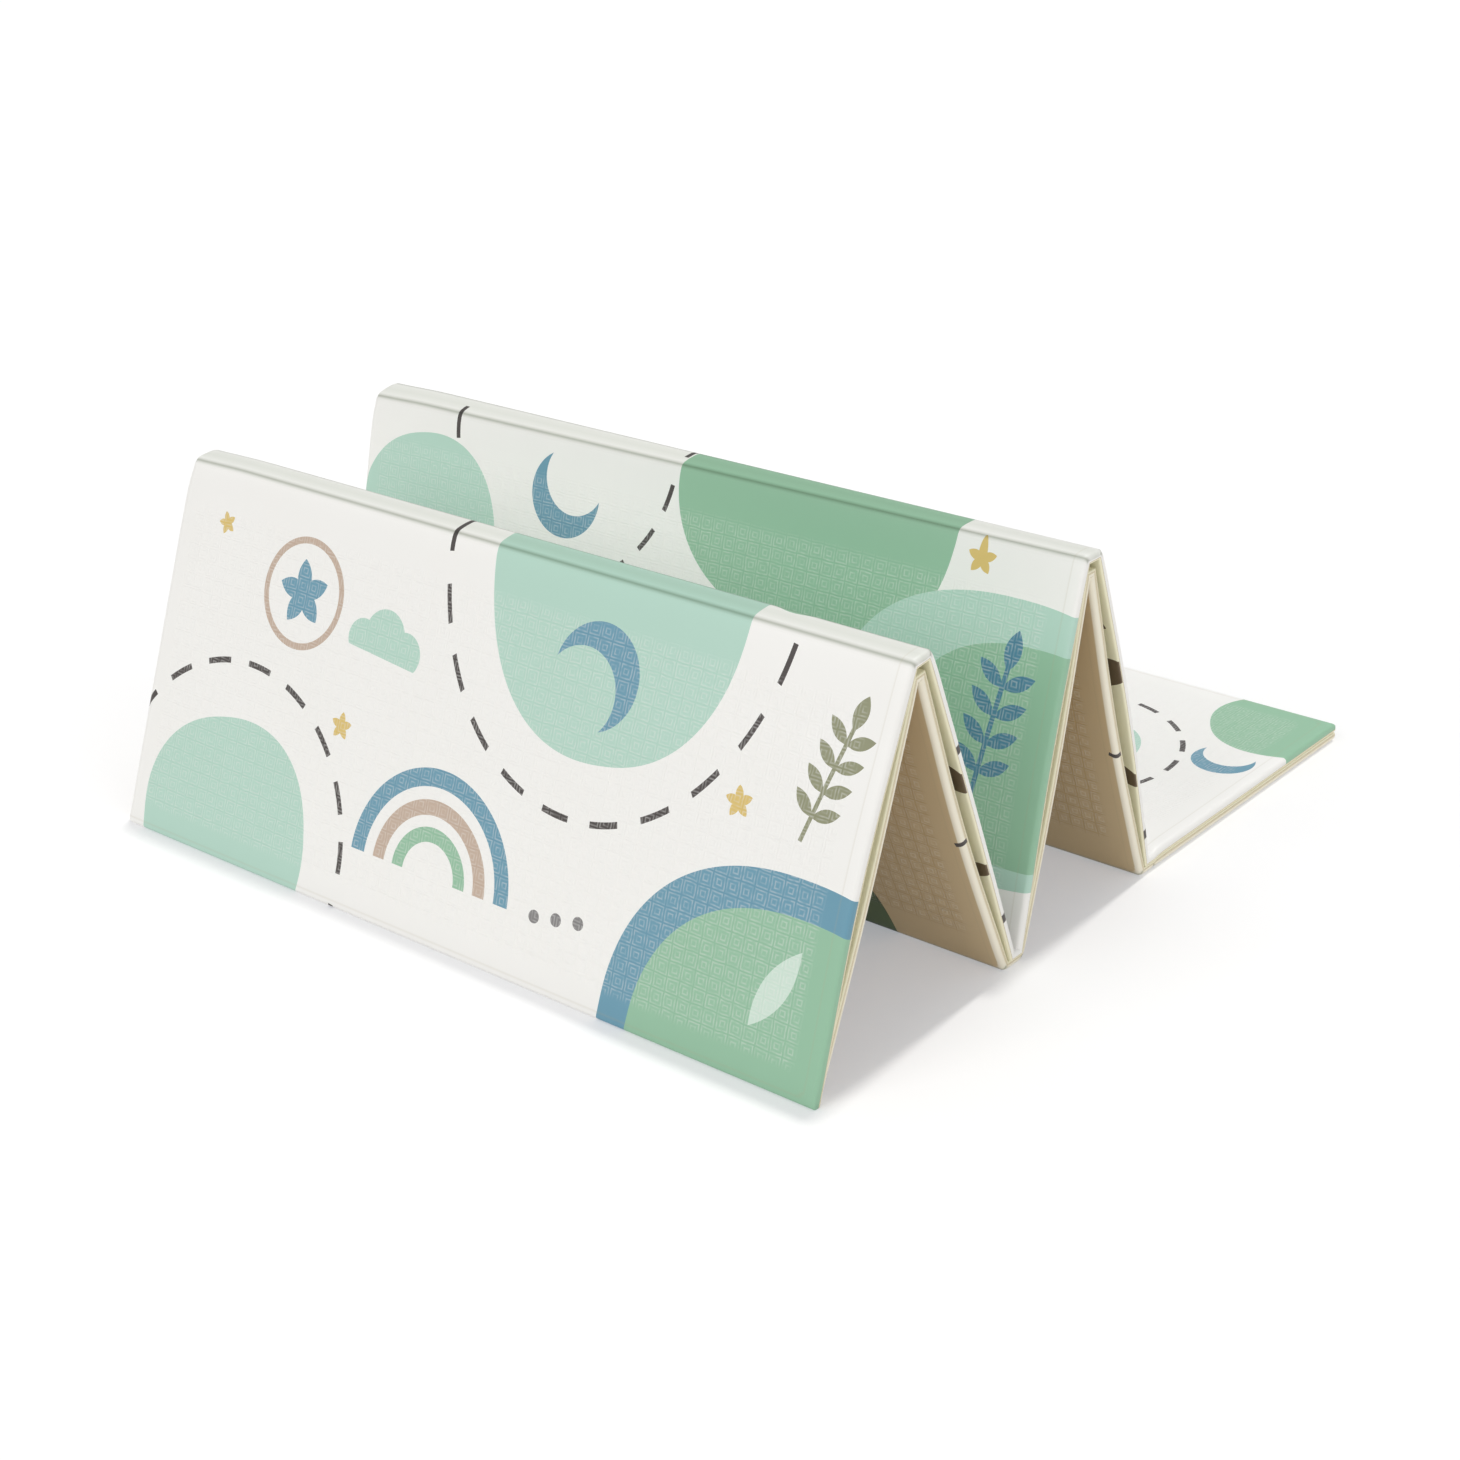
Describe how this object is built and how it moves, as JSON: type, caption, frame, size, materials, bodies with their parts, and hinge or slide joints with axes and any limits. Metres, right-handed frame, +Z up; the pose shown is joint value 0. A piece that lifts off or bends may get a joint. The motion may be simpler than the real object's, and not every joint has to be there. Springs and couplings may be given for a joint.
{
  "type": "folding baby play mat",
  "caption": "Padded foam play mat for a baby to lie and crawl on, folded in half and then back and forth, standing in tent-like folds with its last panel flat on the floor.",
  "frame": {"origin": "on the floor, under the middle of the folded mat's box", "axes": "+X along the folds, from the half fold to the free ends; +Y from the leaning front panel to the panel that lies flat; +Z up"},
  "size_m": [0.905, 0.9422, 0.3767],
  "materials": {
    "printed_foam": "satin embossed film over soft closed-cell foam, printed in off-white, mint, sage, dusty blue and grey"
  },
  "bodies": {
    "root": {"play_mat": "printed_foam"}
  },
  "joints": []
}
